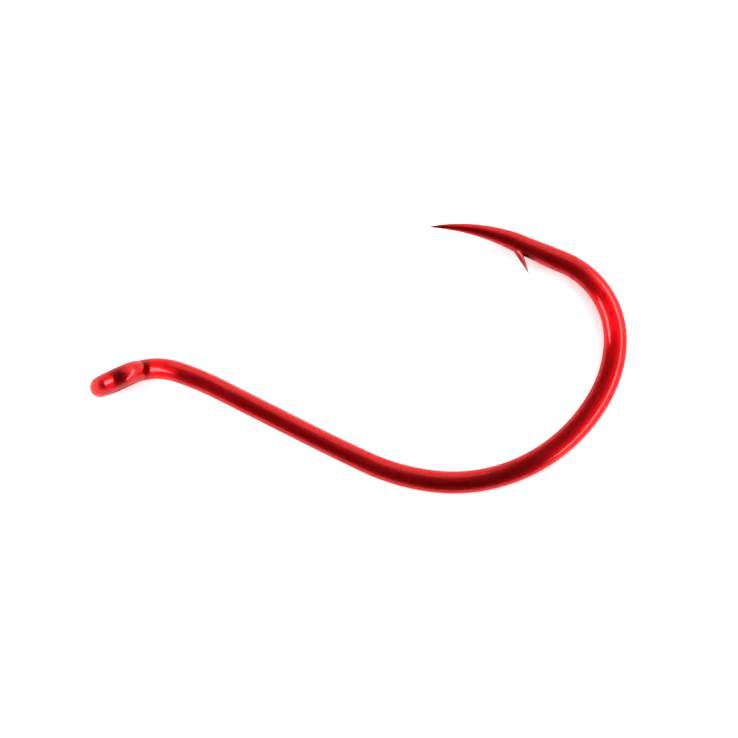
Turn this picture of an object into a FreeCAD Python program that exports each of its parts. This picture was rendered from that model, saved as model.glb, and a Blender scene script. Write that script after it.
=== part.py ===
import FreeCAD, Part
import math
import os

# A single beak-pattern fish hook, bent from one length of steel wire and lying on its side.
# Millimetres. While it is drawn, the straight shank runs along +X from the neck to the bend,
# the point is on the +Y side, and +Z is square to the flat of the hook. It is turned into its
# resting pose at the end.

Vector = FreeCAD.Vector

# ---- the wire -------------------------------------------------------------------------------
WIRE_RADIUS = 0.60

# ---- the eye --------------------------------------------------------------------------------
EYE_RADIUS = 1.16                 # of the wire's centreline round the hole
EYE_ENTRY_RADIUS = 6.0            # of the reverse bend that leads into the ring
EYE_END_ANGLE = 169.5             # how far round the cut end comes, over the neck, from the far side
EYE_LAND_DEPTH = 0.03             # the hole's waist is pressed to a short cylinder this deep

# ---- the plan: straight and curved lengths of centreline, from the eye to the point -----------
SHANK_LENGTH = 5.55
SPEAR_LENGTH = 3.07
POINT_LENGTH = 5.15

# ---- the point and the barb -------------------------------------------------------------------
POINT_FULLNESS = 0.8              # 1 would be a straight cone, less is rounder
POINT_TIP_RADIUS = 0.02
BARB_LENGTH = 1.86
BARB_ROOT_DEPTH = 0.56
BARB_LEAN = 34.0                  # degrees between the barb and the wire behind it
BARB_FROM_TIP = 5.00
BARB_SLIVER_RADIUS = 0.40
BARB_ROOT_OUT = 0.7               # where its back leaves the wire, in wire radii from the centreline
BARB_ROOT_BURIED = 0.2            # how far the root starts inside the wire

# ---- how far apart the sections stand that the lofts run through --------------------------------
EYE_STATION_SPACING = 0.225
WIRE_STATION_SPACING = 0.9
THROAT_STATION_SPACING = 0.6
POINT_STATION_SPACING = 0.25

# ---- how it lies --------------------------------------------------------------------------------
SHANK_SLOPE = -26.7               # degrees, so that the greatest length lies along X
REST_PITCH = 2.46                 # the eye's ring lifts that end off the ground
REST_ROLL = 1.43


def line(length):
    return length, 0.0


def arc(radius, degrees):
    """An arc as its length and its turn, positive to the left."""
    turn = math.radians(degrees)
    return radius * abs(turn), turn


# The plan starts at the middle of the eye's hole.
NECK = [line(0.62), arc(3.8, -42.4), arc(17.6, -8.8)]
SHANK = [line(SHANK_LENGTH)]
BEND = [arc(118.0, 1.9), arc(12.84, 17.5), arc(9.82, 68.5)]
THROAT = [arc(6.91, 24.6), arc(4.86, 71.3)]
SPEAR = [line(SPEAR_LENGTH)]
BEAK = [arc(11.2, math.degrees(POINT_LENGTH / 11.2))]
PLAN = NECK + SHANK + BEND + THROAT + SPEAR + BEAK


def length_of(parts):
    return sum(length for length, turn in parts)


SHANK_FROM = length_of(NECK)
BEND_FROM = SHANK_FROM + SHANK_LENGTH
THROAT_FROM = BEND_FROM + length_of(BEND)
SPEAR_FROM = THROAT_FROM + length_of(THROAT)
POINT_FROM = SPEAR_FROM + SPEAR_LENGTH
TIP_AT = POINT_FROM + POINT_LENGTH
START_HEADING = -sum(turn for length, turn in NECK)


def walk(distance):
    """The plan's x, y and heading at a distance from the middle of the eye."""
    x, y, heading = 0.0, 0.0, START_HEADING
    left = distance
    for length, turn in PLAN:
        step = min(left, length)
        if turn == 0.0:
            x += step * math.cos(heading)
            y += step * math.sin(heading)
        else:
            radius = length / turn
            after = heading + step / radius
            x += radius * (math.sin(after) - math.sin(heading))
            y -= radius * (math.cos(after) - math.cos(heading))
            heading = after
        left -= step
        if left <= 0.0:
            break
    return x, y, heading


# ---- how thick the wire is along its length ----------------------------------------------------
# Pressing the bend a little spreads the wire in the plane of the hook. Distance, radius.
SPREAD = [
    (BEND_FROM, WIRE_RADIUS),
    (BEND_FROM + 9.0, 0.64),
    (THROAT_FROM, 0.67),
    (THROAT_FROM + 3.0, 0.67),
    (SPEAR_FROM, 0.63),
    (POINT_FROM, 0.55),
]


def wire_radius(distance):
    if distance <= SPREAD[0][0]:
        return WIRE_RADIUS
    for (before, small), (after, large) in zip(SPREAD, SPREAD[1:]):
        if distance <= after:
            part = (distance - before) / (after - before)
            return small + (large - small) * part * part * (3.0 - 2.0 * part)
    to_tip = max(TIP_AT - distance, 0.0) / POINT_LENGTH
    return max(SPREAD[-1][1] * to_tip ** POINT_FULLNESS, POINT_TIP_RADIUS)


def wire_half_thickness(distance):
    """Half the wire's height: where it is spread, the section keeps the round wire's area."""
    radius = wire_radius(distance)
    return min(WIRE_RADIUS ** 2 / radius, radius)


def ring(at, along, in_plane, radius, half_thickness):
    """An oval round the centreline, with its seam always on the same side."""
    turned = FreeCAD.Rotation(in_plane, along.cross(in_plane), along, "ZXY")
    oval = Part.Wire(Part.Ellipse(Vector(), radius, half_thickness).toShape())
    oval.Placement = FreeCAD.Placement(at, turned)
    return oval


def plan_ring(distance):
    x, y, heading = walk(distance)
    along = Vector(math.cos(heading), math.sin(heading), 0.0)
    across = Vector(-math.sin(heading), math.cos(heading), 0.0)
    return ring(Vector(x, y, 0.0), along, across, wire_radius(distance), wire_half_thickness(distance))


def wire_between(start, end, spacing=WIRE_STATION_SPACING):
    count = max(2, int(round((end - start) / spacing)) + 1)
    places = [start + (end - start) * i / (count - 1) for i in range(count)]
    return Part.makeLoft([plan_ring(place) for place in places], True, False)


# ---- the eye -------------------------------------------------------------------------------------
def eye_entry_angle():
    return math.acos(EYE_ENTRY_RADIUS / (EYE_ENTRY_RADIUS + EYE_RADIUS))


def eye_neck_distance():
    return (EYE_ENTRY_RADIUS + EYE_RADIUS) * math.sin(eye_entry_angle())


def eye_stations():
    """Distance along the plan, height and climb of the eye's centreline, cut end first.

    They are evenly spaced all the way, because the loft overshoots where their spacing changes.
    """
    entry = eye_entry_angle()
    first = math.radians(EYE_END_ANGLE)
    loop = EYE_RADIUS * (first + math.pi / 2.0 + entry)
    whole = loop + EYE_ENTRY_RADIUS * entry
    count = int(round(whole / EYE_STATION_SPACING))
    stations = []
    for i in range(count + 1):
        gone = whole * i / count
        if gone < loop:
            angle = first - gone / EYE_RADIUS
            stations.append((-EYE_RADIUS * math.cos(angle), EYE_RADIUS * math.sin(angle),
                             math.atan2(-math.cos(angle), -math.sin(angle))))
        else:
            angle = (whole - gone) / EYE_ENTRY_RADIUS
            stations.append((eye_neck_distance() - EYE_ENTRY_RADIUS * math.sin(angle),
                             -EYE_ENTRY_RADIUS * (1.0 - math.cos(angle)), angle))
    return stations


def eye_ring(distance, height, climb):
    x, y, heading = walk(max(distance, 0.0))
    ahead = Vector(math.cos(heading), math.sin(heading), 0.0)
    across = Vector(-math.sin(heading), math.cos(heading), 0.0)
    at = Vector(x, y, height) + ahead * min(distance, 0.0)
    along = ahead * math.cos(climb) + Vector(0.0, 0.0, math.sin(climb))
    return ring(at, along, across, WIRE_RADIUS, WIRE_RADIUS)


def eye_axis():
    return Vector(-math.sin(START_HEADING), math.cos(START_HEADING), 0.0)


def eye():
    """A ring square to the hook, its cut end just clear of the neck, with a short land in its hole."""
    past_the_ring = 3.0
    loop = Part.makeLoft([eye_ring(*station) for station in eye_stations()], True, False)
    hole = Part.makeCylinder(EYE_RADIUS - WIRE_RADIUS + EYE_LAND_DEPTH, 2.0 * past_the_ring,
                             eye_axis() * -past_the_ring, eye_axis())
    return loop.cut(hole)


# ---- the barb --------------------------------------------------------------------------------------
def barb(point):
    """A sliver of the wire's own round surface, sliced up on the inner side and bent outwards."""
    knife_size = 4.0
    sliver = Part.makeCylinder(BARB_SLIVER_RADIUS, BARB_LENGTH + BARB_ROOT_BURIED,
                               Vector(0.0, 0.0, -BARB_ROOT_BURIED))
    slice_angle = math.degrees(math.atan2(BARB_ROOT_DEPTH, BARB_LENGTH))
    knife = Part.makeBox(knife_size, knife_size, 2.0 * knife_size,
                         Vector(-knife_size, -knife_size / 2.0, -knife_size))
    knife.rotate(Vector(0, 0, 0), Vector(0, 1, 0), slice_angle)
    knife.translate(Vector(BARB_SLIVER_RADIUS, 0.0, BARB_LENGTH))
    sliver = sliver.cut(knife)
    sliver.translate(Vector(-BARB_SLIVER_RADIUS, 0.0, 0.0))
    x, y, heading = walk(TIP_AT - BARB_FROM_TIP)
    inward = heading + math.pi / 2.0
    lean = heading + math.pi - math.radians(BARB_LEAN)
    outwards = Vector(math.cos(lean), math.sin(lean), 0.0)
    face = Vector(-math.sin(lean), math.cos(lean), 0.0)
    root_out = wire_radius(TIP_AT - BARB_FROM_TIP) * BARB_ROOT_OUT
    root = Vector(x + root_out * math.cos(inward), y + root_out * math.sin(inward), 0.0)
    turned = FreeCAD.Rotation(face * -1.0, Vector(0, 0, 1), outwards, "ZXY")
    sliver.Placement = FreeCAD.Placement(root, turned).multiply(sliver.Placement)
    return sliver.cut(point)


# ---- the whole hook -----------------------------------------------------------------------------------
def hook():
    eye_to_neck = eye_neck_distance()
    sections = {
        "eye": eye(),
        "shank": wire_between(eye_to_neck, BEND_FROM),
        "bend": wire_between(BEND_FROM, THROAT_FROM),
        "throat": wire_between(THROAT_FROM, SPEAR_FROM, THROAT_STATION_SPACING),
        "point": wire_between(SPEAR_FROM, TIP_AT, POINT_STATION_SPACING),
    }
    sections["barb"] = barb(sections["point"])
    return sections


def laid_down(sections):
    """The hook on the ground as it rests, centred on the origin."""
    roll = FreeCAD.Placement(Vector(), FreeCAD.Rotation(Vector(1, 0, 0), REST_ROLL))
    pitch = FreeCAD.Placement(Vector(), FreeCAD.Rotation(Vector(0, 1, 0), REST_PITCH))
    slope = FreeCAD.Placement(Vector(), FreeCAD.Rotation(Vector(0, 0, 1), SHANK_SLOPE))
    pose = roll.multiply(pitch).multiply(slope)
    laid = {}
    for name, shape in sections.items():
        laid[name] = shape.copy()
        laid[name].Placement = pose.multiply(shape.Placement)
    box = Part.makeCompound(list(laid.values())).optimalBoundingBox(False, False)
    shift = Vector(-box.Center.x, -box.Center.y, -box.ZMin)
    for shape in laid.values():
        shape.translate(shift)
    return laid


os.makedirs("parts", exist_ok=True)
for node, solid in laid_down(hook()).items():
    solid.exportStep("parts/" + node + ".step")
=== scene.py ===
import math

import bpy
from mathutils import Matrix, Vector


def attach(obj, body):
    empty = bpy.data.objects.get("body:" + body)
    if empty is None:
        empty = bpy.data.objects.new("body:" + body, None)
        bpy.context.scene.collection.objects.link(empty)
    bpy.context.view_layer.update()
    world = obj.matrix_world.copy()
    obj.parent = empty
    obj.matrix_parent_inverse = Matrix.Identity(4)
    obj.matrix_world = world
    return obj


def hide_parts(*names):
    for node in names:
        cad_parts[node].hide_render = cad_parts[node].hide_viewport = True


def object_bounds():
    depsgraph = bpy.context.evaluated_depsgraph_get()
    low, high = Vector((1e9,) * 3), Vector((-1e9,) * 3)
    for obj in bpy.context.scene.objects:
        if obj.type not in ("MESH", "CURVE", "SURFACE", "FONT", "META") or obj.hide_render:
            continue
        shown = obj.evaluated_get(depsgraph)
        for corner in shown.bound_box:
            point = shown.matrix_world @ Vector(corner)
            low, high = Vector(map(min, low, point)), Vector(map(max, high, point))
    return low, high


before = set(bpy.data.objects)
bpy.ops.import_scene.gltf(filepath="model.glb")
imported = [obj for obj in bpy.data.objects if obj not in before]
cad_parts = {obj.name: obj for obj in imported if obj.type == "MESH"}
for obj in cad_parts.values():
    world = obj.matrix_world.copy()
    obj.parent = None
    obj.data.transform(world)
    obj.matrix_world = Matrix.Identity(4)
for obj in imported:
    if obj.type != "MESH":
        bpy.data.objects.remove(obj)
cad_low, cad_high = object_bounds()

# A single beak-pattern fish hook of red plated wire, lying on a white floor.
MM = 0.001

# ---- the wire, in millimetres, as the CAD draws it --------------------------------------------
# The shank runs along +X, the point is on the +Y side, and +Z is square to the hook's plane.
WIRE_RADIUS = 0.60

EYE_RADIUS = 1.16                 # of the wire's centreline round the hole
EYE_ENTRY_RADIUS = 6.0            # of the reverse bend that leads into the ring
EYE_END_ANGLE = 169.5             # how far round the cut end comes, over the neck, from the far side
EYE_LAND_DEPTH = 0.03             # the hole's waist is pressed to a short cylinder this deep
EYE_LAND_ROUNDING = 0.01
CUT_END_ROUNDING = 0.06

SHANK_LENGTH = 5.55
SPEAR_LENGTH = 3.07
POINT_LENGTH = 5.15
POINT_CURVE_RADIUS = 11.2
POINT_FULLNESS = 0.8              # 1 would be a straight cone, less is rounder
POINT_TIP_RADIUS = 0.02

BARB_LENGTH = 1.86
BARB_ROOT_DEPTH = 0.56
BARB_LEAN = 34.0                  # degrees between the barb and the wire behind it
BARB_FROM_TIP = 5.00
BARB_SLIVER_RADIUS = 0.40
BARB_ROOT_OUT = 0.7               # where its back leaves the wire, in wire radii from the centreline
BARB_ROOT_BURIED = 0.2            # how far the root starts inside the wire
BARB_TIP_THICKNESS = 0.02

SHANK_SLOPE = -26.7               # degrees, so that the greatest length lies along X
REST_PITCH = 2.46                 # the eye's ring lifts that end off the ground
REST_ROLL = 1.43

# ---- how finely it is meshed ----------------------------------------------------------------------
SIDES = 96
STATION_SPACING = 0.07
POINT_STATION_SPACING = 0.04
CUT_END_STEPS = 9
BARB_STEPS = 48
SHARP_EDGE = 50.0                 # degrees between faces

# ---- colours ----------------------------------------------------------------------------------------
PLATING_DARK = (0.74, 0.003, 0.006, 1.0)
PLATING_LIGHT = (0.90, 0.008, 0.012, 1.0)
PLATING_EDGE_TINT = (0.9, 0.12, 0.12, 1.0)
PIT_RED = (0.48, 0.002, 0.004, 1.0)
# Painted shade: darkens the eye and the barb.
PAINTED_SHADE_RED = (0.10, 0.001, 0.002, 1.0)
# Painted shade: near-black in the crevice between the cut end and the neck.
PAINTED_CREVICE_SHADE = (0.05, 0.002, 0.003, 1.0)
BARE_STEEL = (0.16, 0.15, 0.15, 1.0)
FLOOR_WHITE = (0.93, 0.93, 0.93, 1.0)
WHITE = (1.0, 1.0, 1.0, 1.0)

# The painted shade in the crevice between the cut end and the neck, seen from the middle of the hole.
CREVICE_AHEAD = 1.66
CREVICE_ASIDE = 0.22
CREVICE_UP = 0.45

# ---- the studio and the camera, in metres --------------------------------------------------------------
FLOOR_HALF_SIZE = 0.25
FLOOR_GAP = 0.00002

# How bright the room is, from the horizon (0) to straight up (1).
ROOM_LEVELS = [(0.0, 0.8), (0.25, 0.60), (0.42, 0.34), (0.60, 0.16), (0.87, 0.11), (1.0, 0.10)]
ROOM_BACK = (0.45, 0.89, 0.0)     # the direction in which the room is brightest
HORIZON_LEVEL = 1.1

CAMERA_ELEVATION = 86.0
CAMERA_AIM = (0.00056, -0.00062, 0.001)
FIELD_WIDTH = 0.0427              # what the picture spans at the hook
LENS = 180.0                      # millimetres, like the sensor's width
SENSOR = 36.0


# =====================================================================================================
# The centreline
# =====================================================================================================
def line(length):
    return length, 0.0


def arc(radius, degrees):
    """An arc as its length and its turn, positive to the left."""
    turn = math.radians(degrees)
    return radius * abs(turn), turn


# The plan starts at the middle of the eye's hole.
NECK = [line(0.62), arc(3.8, -42.4), arc(17.6, -8.8)]
SHANK = [line(SHANK_LENGTH)]
BEND = [arc(118.0, 1.9), arc(12.84, 17.5), arc(9.82, 68.5)]
THROAT = [arc(6.91, 24.6), arc(4.86, 71.3)]
SPEAR = [line(SPEAR_LENGTH)]
BEAK = [arc(POINT_CURVE_RADIUS, math.degrees(POINT_LENGTH / POINT_CURVE_RADIUS))]
PLAN = NECK + SHANK + BEND + THROAT + SPEAR + BEAK


def length_of(parts):
    return sum(length for length, turn in parts)


SHANK_FROM = length_of(NECK)
BEND_FROM = SHANK_FROM + SHANK_LENGTH
THROAT_FROM = BEND_FROM + length_of(BEND)
SPEAR_FROM = THROAT_FROM + length_of(THROAT)
POINT_FROM = SPEAR_FROM + SPEAR_LENGTH
TIP_AT = POINT_FROM + POINT_LENGTH
START_HEADING = -sum(turn for length, turn in NECK)


def walk(distance):
    """The plan's x, y and heading at a distance from the middle of the eye."""
    x, y, heading = 0.0, 0.0, START_HEADING
    left = distance
    if left < 0.0:
        return left * math.cos(heading), left * math.sin(heading), heading
    for length, turn in PLAN:
        step = min(left, length)
        if turn == 0.0:
            x += step * math.cos(heading)
            y += step * math.sin(heading)
        else:
            radius = length / turn
            after = heading + step / radius
            x += radius * (math.sin(after) - math.sin(heading))
            y -= radius * (math.cos(after) - math.cos(heading))
            heading = after
        left -= step
        if left <= 0.0:
            break
    return x, y, heading


# Pressing the bend a little spreads the wire in the plane of the hook. Distance, radius.
SPREAD = [
    (BEND_FROM, WIRE_RADIUS),
    (BEND_FROM + 9.0, 0.64),
    (THROAT_FROM, 0.67),
    (THROAT_FROM + 3.0, 0.67),
    (SPEAR_FROM, 0.63),
    (POINT_FROM, 0.55),
]


def wire_radius(distance):
    if distance <= SPREAD[0][0]:
        return WIRE_RADIUS
    for (before, small), (after, large) in zip(SPREAD, SPREAD[1:]):
        if distance <= after:
            part = (distance - before) / (after - before)
            return small + (large - small) * part * part * (3.0 - 2.0 * part)
    to_tip = max(TIP_AT - distance, 0.0) / POINT_LENGTH
    return max(SPREAD[-1][1] * to_tip ** POINT_FULLNESS, POINT_TIP_RADIUS)


# =====================================================================================================
# The wire: rings of vertices round the centreline
# =====================================================================================================
def ahead_of(heading):
    return Vector((math.cos(heading), math.sin(heading), 0.0))


def left_of(heading):
    return Vector((-math.sin(heading), math.cos(heading), 0.0))


def plan_ring(distance):
    """An oval round the centreline: where the wire is spread, it keeps the round wire's area."""
    x, y, heading = walk(distance)
    radius = wire_radius(distance)
    half_thickness = min(WIRE_RADIUS ** 2 / radius, radius)
    across = left_of(heading)
    ring = []
    for i in range(SIDES):
        angle = 2.0 * math.pi * i / SIDES
        place = Vector((x, y, half_thickness * math.sin(angle)))
        ring.append(place + across * (radius * math.cos(angle)))
    return ring


def wire_between(start, end, spacing=STATION_SPACING):
    count = max(2, int(math.ceil((end - start) / spacing)) + 1)
    return [plan_ring(start + (end - start) * i / (count - 1)) for i in range(count)]


# =====================================================================================================
# The eye
# =====================================================================================================
def lower_of(value, limit, rounding):
    """The smaller of two numbers, rounded off where they meet."""
    overlap = max(rounding - abs(value - limit), 0.0)
    return min(value, limit) - overlap * overlap / (4.0 * rounding)


def eye_axis():
    return left_of(START_HEADING)


def eye_ring(distance, height, climb, radius=WIRE_RADIUS):
    """A ring round the eye's own centreline, pressed back to the hole's cylindrical land."""
    x, y, heading = walk(distance)
    across = left_of(heading)
    along = ahead_of(heading) * math.cos(climb) + Vector((0.0, 0.0, math.sin(climb)))
    up = along.cross(across) * -1.0
    middle = Vector((x, y, height))
    axis = eye_axis()
    land_radius = EYE_RADIUS - WIRE_RADIUS + EYE_LAND_DEPTH
    ring = []
    for i in range(SIDES):
        angle = 2.0 * math.pi * i / SIDES
        place = middle + across * (radius * math.cos(angle)) + up * (radius * math.sin(angle))
        out = place - axis * place.dot(axis)
        clear = -lower_of(-out.length, -land_radius, EYE_LAND_ROUNDING)
        ring.append(place + out.normalized() * (clear - out.length))
    return ring


def eye_loop_ring(angle, radius=WIRE_RADIUS):
    """A ring at an angle round the hole, where 0 is its far side and a quarter turn is its top."""
    climb = math.atan2(-math.cos(angle), -math.sin(angle))
    return eye_ring(-EYE_RADIUS * math.cos(angle), EYE_RADIUS * math.sin(angle), climb, radius)


def eye_entry_angle():
    """How far the reverse bend turns before it runs into the loop."""
    return math.acos(EYE_ENTRY_RADIUS / (EYE_ENTRY_RADIUS + EYE_RADIUS))


def eye_neck_distance():
    return (EYE_ENTRY_RADIUS + EYE_RADIUS) * math.sin(eye_entry_angle())


def rounded_cut_end(end_angle):
    """The rings that round off the edge of the cut end."""
    rings = []
    for i in range(CUT_END_STEPS + 1):
        turned = math.pi / 2.0 * i / CUT_END_STEPS
        back = CUT_END_ROUNDING * (1.0 - math.cos(turned))
        radius = WIRE_RADIUS - CUT_END_ROUNDING * (1.0 - math.sin(turned))
        rings.append(eye_loop_ring(end_angle - back / EYE_RADIUS, radius))
    return rings


def eye_sections():
    """The eye's rings, from the rounded cut end, round the loop, to the neck."""
    end_angle = math.radians(EYE_END_ANGLE)
    entry = eye_entry_angle()
    rings = rounded_cut_end(end_angle)
    first = end_angle - CUT_END_ROUNDING / EYE_RADIUS
    last = -math.pi / 2.0 - entry
    steps = int((first - last) * EYE_RADIUS / STATION_SPACING)
    for i in range(1, steps + 1):
        rings.append(eye_loop_ring(first + (last - first) * i / steps))
    steps = int(entry * EYE_ENTRY_RADIUS / STATION_SPACING) + 1
    for i in range(1, steps + 1):
        angle = entry * (1.0 - i / steps)
        rings.append(eye_ring(eye_neck_distance() - EYE_ENTRY_RADIUS * math.sin(angle),
                              -EYE_ENTRY_RADIUS * (1.0 - math.cos(angle)), angle))
    return rings


# =====================================================================================================
# The barb
# =====================================================================================================
def barb_slice(middle, back, depth):
    """A slice across the barb: a round back and a flat cut face."""
    spread = math.acos(1.0 - depth / BARB_SLIVER_RADIUS)
    width = BARB_SLIVER_RADIUS * math.sin(spread)
    half = SIDES // 2
    ring = []
    for j in range(half):
        angle = spread * (2.0 * j / half - 1.0)
        ring.append(middle + back * (BARB_SLIVER_RADIUS * math.cos(angle))
                    + Vector((0.0, 0.0, BARB_SLIVER_RADIUS * math.sin(angle))))
    chord = middle + back * (BARB_SLIVER_RADIUS * math.cos(spread))
    for j in range(half):
        ring.append(chord + Vector((0.0, 0.0, width * (1.0 - 2.0 * j / half))))
    return ring


def barb_sections():
    """Slices across the barb, root first, thinning to an edge."""
    x, y, heading = walk(TIP_AT - BARB_FROM_TIP)
    lean = heading + math.pi - math.radians(BARB_LEAN)
    outwards = ahead_of(lean)
    back = left_of(lean) * -1.0
    root_out = wire_radius(TIP_AT - BARB_FROM_TIP) * BARB_ROOT_OUT
    root = Vector((x, y, 0.0)) + left_of(heading) * root_out
    rings = []
    for i in range(BARB_STEPS + 1):
        along = -BARB_ROOT_BURIED + (BARB_LENGTH + BARB_ROOT_BURIED) * i / BARB_STEPS
        depth = max(BARB_ROOT_DEPTH * (1.0 - along / BARB_LENGTH), BARB_TIP_THICKNESS)
        middle = root + outwards * along - back * BARB_SLIVER_RADIUS
        rings.append(barb_slice(middle, back, depth))
    return rings


# =====================================================================================================
# Skins, and where the hook lies
# =====================================================================================================
def placed_in_frame(sections):
    """Lays the hook down as it rests, with its box on the CAD's box."""
    roll = Matrix.Rotation(math.radians(REST_ROLL), 4, "X")
    pitch = Matrix.Rotation(math.radians(REST_PITCH), 4, "Y")
    slope = Matrix.Rotation(math.radians(SHANK_SLOPE), 4, "Z")
    turn = roll @ pitch @ slope
    turned = [turn @ vertex for rings in sections.values() for ring in rings for vertex in ring]
    low = Vector(min(vertex[i] for vertex in turned) for i in range(3)) * MM
    high = Vector(max(vertex[i] for vertex in turned) for i in range(3)) * MM
    cad_middle = (cad_low + cad_high) / 2.0
    shift = Vector((cad_middle.x - (low.x + high.x) / 2.0,
                    cad_middle.y - (low.y + high.y) / 2.0,
                    cad_low.z - low.z))
    return Matrix.Translation(shift) @ turn


def lay_round_and_along(mesh, rings):
    """A UV layer in millimetres: U runs round the wire and V along it."""
    sides = len(rings[0])
    around = 2.0 * math.pi * WIRE_RADIUS / sides
    along = [0.0]
    middles = [sum(ring, Vector()) / sides for ring in rings]
    for before, after in zip(middles, middles[1:]):
        along.append(along[-1] + (after - before).length)
    layer = mesh.uv_layers.new(name="round_and_along")
    for face in mesh.polygons:
        for loop in face.loop_indices:
            index = mesh.loops[loop].vertex_index
            step = index % sides
            if len(face.vertices) == 4 and step == 0 and face.index % sides == sides - 1:
                step = sides
            layer.data[loop].uv = (step * around, along[index // sides])


def skinned(name, rings, place):
    """A closed mesh through rings of equal count, with a flat cap at each end."""
    sides = len(rings[0])
    vertices = [place @ (vertex * MM) for ring in rings for vertex in ring]
    faces = []
    for i in range(len(rings) - 1):
        for j in range(sides):
            after = (j + 1) % sides
            faces.append((i * sides + j, i * sides + after,
                          (i + 1) * sides + after, (i + 1) * sides + j))
    last = (len(rings) - 1) * sides
    faces.append(tuple(reversed(range(sides))))
    faces.append(tuple(last + j for j in range(sides)))
    mesh = bpy.data.meshes.new(name)
    mesh.from_pydata(vertices, [], faces)
    lay_round_and_along(mesh, rings)
    ob = bpy.data.objects.new(name, mesh)
    bpy.context.scene.collection.objects.link(ob)
    return ob


def turn_outward(mesh):
    """Turns every face to look out of its closed mesh."""
    volume = 0.0
    for face in mesh.polygons:
        corners = [mesh.vertices[i].co for i in face.vertices]
        for i in range(1, len(corners) - 1):
            volume += corners[0].dot(corners[i].cross(corners[i + 1]))
    if volume < 0.0:
        mesh.flip_normals()


def finish_section(ob, node, material):
    turn_outward(ob.data)
    ob.data.shade_smooth()
    ob.data.set_sharp_from_angle(angle=math.radians(SHARP_EDGE))
    ob.data.materials.append(material)
    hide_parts(node)
    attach(ob, "root")


# =====================================================================================================
# Nodes for the materials and the room
# =====================================================================================================
def node_maker(tree):
    """Returns what adds a node. Each input is a constant, or the output that is linked to it."""
    def make(kind, inputs, **settings):
        node = tree.nodes.new(kind)
        for name, value in settings.items():
            setattr(node, name, value)
        for key, value in inputs.items():
            if isinstance(value, bpy.types.NodeSocket):
                tree.links.new(value, node.inputs[key])
            else:
                node.inputs[key].default_value = value
        return node
    return make


def noise(make, vector, scale, detail):
    inputs = {"Vector": vector, "Scale": scale, "Detail": detail}
    return make("ShaderNodeTexNoise", inputs).outputs["Fac"]


def mapped(make, value, from_min, from_max, to_min=0.0, to_max=1.0, curve="LINEAR"):
    inputs = {"Value": value, "From Min": from_min, "From Max": from_max,
              "To Min": to_min, "To Max": to_max}
    return make("ShaderNodeMapRange", inputs, interpolation_type=curve).outputs["Result"]


def ramp(make, value, stops):
    """A value turned into a colour, through stops of position and colour."""
    node = make("ShaderNodeValToRGB", {"Fac": value})
    elements = node.color_ramp.elements
    while len(elements) < len(stops):
        elements.new(0.5)
    for element, (position, colour) in zip(elements, stops):
        element.position = position
        element.color = colour
    return node.outputs["Color"]


def mixed(make, factor, below, above, blend="MIX"):
    inputs = {"Factor": factor, "A": below, "B": above}
    return make("ShaderNodeMix", inputs, data_type="RGBA", blend_type=blend).outputs["Result"]


# =====================================================================================================
# Materials
# =====================================================================================================
def close_to(make, at, centre, reach):
    """1 at a place on the hook, fading to 0 at this distance from it."""
    away = make("ShaderNodeVectorMath", {0: at, 1: centre}, operation="DISTANCE").outputs["Value"]
    return mapped(make, away, reach, 0.0, curve="SMOOTHSTEP")


def plating_colour(make, at, cloud, drawn, speck, shade_and_wear):
    """A cloudy red with lighter and darker drawn lines, fine pits, and over them patches of painted shade
    and of worn bare steel.
    """
    red = ramp(make, cloud, [(0.3, PLATING_DARK), (0.7, PLATING_LIGHT)])
    line_tone = mapped(make, drawn, 0.3, 0.7, to_min=0.72, to_max=1.10)
    colour = mixed(make, 1.0, red, line_tone, "MULTIPLY")
    pits = mapped(make, speck, 0.56, 0.70)
    colour = mixed(make, pits, colour, PIT_RED)
    # Patches of painted shade and of worn bare steel, mixed over the plating.
    for centre, reach, patch_colour in shade_and_wear:
        colour = mixed(make, close_to(make, at, centre, reach), colour, patch_colour)
    return colour


def plating_relief(make, drawn, speck):
    height = make("ShaderNodeMath", {0: speck, 1: drawn}, operation="ADD").outputs["Value"]
    inputs = {"Strength": 0.35, "Distance": 0.000004, "Height": height}
    return make("ShaderNodeBump", inputs).outputs["Normal"]


def red_plating(shade_and_wear):
    """Translucent red plating over drawn steel. Each patch of painted shade or of wear is a centre, a
    reach and a colour.
    """
    material = bpy.data.materials.new("red_plating")
    material.use_nodes = True
    material.node_tree.nodes.clear()
    make = node_maker(material.node_tree)
    at = make("ShaderNodeTexCoord", {}).outputs["Object"]
    wire_uv = make("ShaderNodeUVMap", {}, uv_map="round_and_along").outputs["UV"]
    wire_tangent = make("ShaderNodeTangent", {}, direction_type="UV_MAP", uv_map="round_and_along")
    stretched = make("ShaderNodeMapping", {"Vector": wire_uv, "Scale": (14.0, 0.7, 1.0)})
    drawn = noise(make, stretched.outputs["Vector"], scale=1.0, detail=3.0)
    cloud = noise(make, at, scale=500.0, detail=4.0)
    speck = noise(make, at, scale=4500.0, detail=2.0)
    shader = make("ShaderNodeBsdfPrincipled", {
        "Base Color": plating_colour(make, at, cloud, drawn, speck, shade_and_wear),
        "Metallic": 1.0,
        "Roughness": mapped(make, cloud, 0.0, 1.0, to_min=0.36, to_max=0.46),
        "Normal": plating_relief(make, drawn, speck),
        "Specular Tint": PLATING_EDGE_TINT,
        "Anisotropic": 0.90,
        "Tangent": wire_tangent.outputs["Tangent"],
        "Coat Weight": 0.26,
        "Coat Roughness": 0.08,
        "Coat IOR": 1.8,
    })
    make("ShaderNodeOutputMaterial", {"Surface": shader.outputs["BSDF"]})
    return material


def white_floor():
    material = bpy.data.materials.new("white_floor")
    material.use_nodes = True
    shader = material.node_tree.nodes["Principled BSDF"]
    shader.inputs["Base Color"].default_value = FLOOR_WHITE
    shader.inputs["Roughness"].default_value = 0.9
    shader.inputs["Specular IOR Level"].default_value = 0.1
    return material


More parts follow.
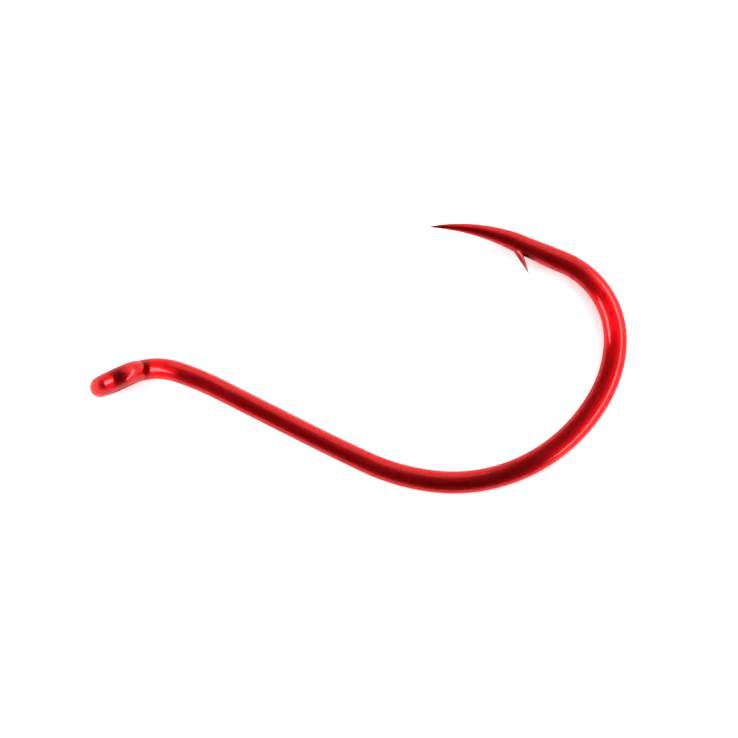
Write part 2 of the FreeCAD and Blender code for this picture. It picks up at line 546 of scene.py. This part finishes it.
def shade_and_wear_places(place, barb):
    """Where colour is painted darker as shade on the eye, in the crevice and on the barb, and where the
    plating is worn to bare steel at the tips: a centre, a reach and a colour.
    """
    tip_x, tip_y = walk(TIP_AT)[:2]
    crevice = (ahead_of(START_HEADING) * CREVICE_AHEAD + eye_axis() * CREVICE_ASIDE
               + Vector((0.0, 0.0, CREVICE_UP)))
    barb_middle = sum(barb[len(barb) // 2], Vector()) / SIDES
    barb_tip = barb[-1][0]
    places = [
        # Painted shade: the eye is darkened towards the middle of its hole.
        (Vector(), 2.7, PAINTED_SHADE_RED),
        # Painted shade: near-black in the crevice where the cut end meets the neck.
        (crevice, 0.55, PAINTED_CREVICE_SHADE),
        # Painted shade: the barb is darkened around its middle.
        (barb_middle, 1.0, PAINTED_SHADE_RED),
        (Vector((tip_x, tip_y, 0.0)), 0.5, BARE_STEEL),
        # Worn plating bares the steel at the barb's tip. Its wide reach also serves as painted shade that
        # darkens the barb.
        (barb_tip, 0.9, BARE_STEEL),
    ]
    return [(place @ (centre * MM), reach * MM, colour) for centre, reach, colour in places]


# =====================================================================================================
# Floor, light and camera
# =====================================================================================================
def lay_floor():
    half = FLOOR_HALF_SIZE
    corners = [(-half, -half, 0), (half, -half, 0), (half, half, 0), (-half, half, 0)]
    mesh = bpy.data.meshes.new("floor")
    mesh.from_pydata(corners, [], [(0, 1, 2, 3)])
    mesh.materials.append(white_floor())
    floor = bpy.data.objects.new("floor", mesh)
    bpy.context.scene.collection.objects.link(floor)
    floor.location.z = cad_low.z - FLOOR_GAP


def studio_world():
    """A white horizon all round, darker above it, and brighter at the back than in front."""
    world = bpy.data.worlds.new("studio")
    bpy.context.scene.world = world
    world.use_nodes = True
    world.node_tree.nodes.clear()
    make = node_maker(world.node_tree)
    direction = make("ShaderNodeTexCoord", {}).outputs["Generated"]
    up = make("ShaderNodeSeparateXYZ", {"Vector": direction}).outputs["Z"]
    room = ramp(make, up, [(height, (level, level, level, 1.0)) for height, level in ROOM_LEVELS])
    to_back = make("ShaderNodeVectorMath", {0: direction, 1: ROOM_BACK}, operation="DOT_PRODUCT")
    lift = mapped(make, to_back.outputs["Value"], -0.8, 0.8,
                  to_min=0.35, to_max=1.2, curve="SMOOTHSTEP")
    lit_room = make("ShaderNodeMath", {0: room, 1: lift}, operation="MULTIPLY").outputs["Value"]
    horizon = mapped(make, up, 0.20, 0.08, curve="SMOOTHSTEP")
    levels = {"Factor": horizon, "A": lit_room, "B": HORIZON_LEVEL}
    strength = make("ShaderNodeMix", levels, data_type="FLOAT").outputs["Result"]
    background = make("ShaderNodeBackground", {"Color": WHITE, "Strength": strength})
    make("ShaderNodeOutputWorld", {"Surface": background.outputs["Background"]})


def soft_box(name, azimuth, elevation, distance, width, height, strength):
    """A soft box facing the hook. Azimuth 0 is in front (-Y) and 90 to the right (+X)."""
    light = bpy.data.lights.new(name, "AREA")
    light.shape = "RECTANGLE"
    light.size = width
    light.size_y = height
    light.energy = strength * width * height * math.pi
    ob = bpy.data.objects.new(name, light)
    bpy.context.scene.collection.objects.link(ob)
    a, e = math.radians(azimuth), math.radians(elevation)
    towards = Vector((math.sin(a) * math.cos(e), -math.cos(a) * math.cos(e), math.sin(e)))
    ob.location = towards * distance
    ob.rotation_euler = towards.to_track_quat("Z", "Y").to_euler()
    ob.visible_camera = False
    return ob


def light_studio():
    """Near soft boxes left and right for the highlights, and a wide one that lights the floor."""
    soft_box("left_box", azimuth=-73.0, elevation=44.5, distance=0.06,
             width=0.034, height=0.031, strength=9.5)
    soft_box("right_box", azimuth=86.0, elevation=31.5, distance=0.12,
             width=0.19, height=0.036, strength=7.5)
    soft_box("back_right_box", azimuth=140.0, elevation=30.0, distance=0.14,
             width=0.24, height=0.12, strength=1.0)
    fill = soft_box("floor_fill", azimuth=200.0, elevation=70.0, distance=0.60,
                    width=0.90, height=0.90, strength=1.6)
    fill.visible_glossy = False


def place_camera():
    """Nearly straight above the hook, leaning a little towards the front."""
    data = bpy.data.cameras.new("camera")
    data.lens = LENS
    data.sensor_width = SENSOR
    data.clip_start = 0.005
    data.clip_end = 5.0
    camera = bpy.data.objects.new("camera", data)
    bpy.context.scene.collection.objects.link(camera)
    bpy.context.scene.camera = camera
    elevation = math.radians(CAMERA_ELEVATION)
    back = Vector((0.0, -math.cos(elevation), math.sin(elevation)))
    camera.location = Vector(CAMERA_AIM) + back * (FIELD_WIDTH / SENSOR * LENS)
    camera.rotation_euler = back.to_track_quat("Z", "Y").to_euler()


# =====================================================================================================
# The scene
# =====================================================================================================
sections = {
    "eye": eye_sections(),
    "shank": wire_between(eye_neck_distance(), BEND_FROM),
    "bend": wire_between(BEND_FROM, THROAT_FROM),
    "throat": wire_between(THROAT_FROM, SPEAR_FROM),
    "point": wire_between(SPEAR_FROM, TIP_AT, POINT_STATION_SPACING),
    "barb": barb_sections(),
}
place = placed_in_frame(sections)
plating = red_plating(shade_and_wear_places(place, sections["barb"]))
for node, rings in sections.items():
    finish_section(skinned("wire_" + node, rings, place), node, plating)

lay_floor()
studio_world()
light_studio()
place_camera()
bpy.context.scene.view_settings.view_transform = "Standard"
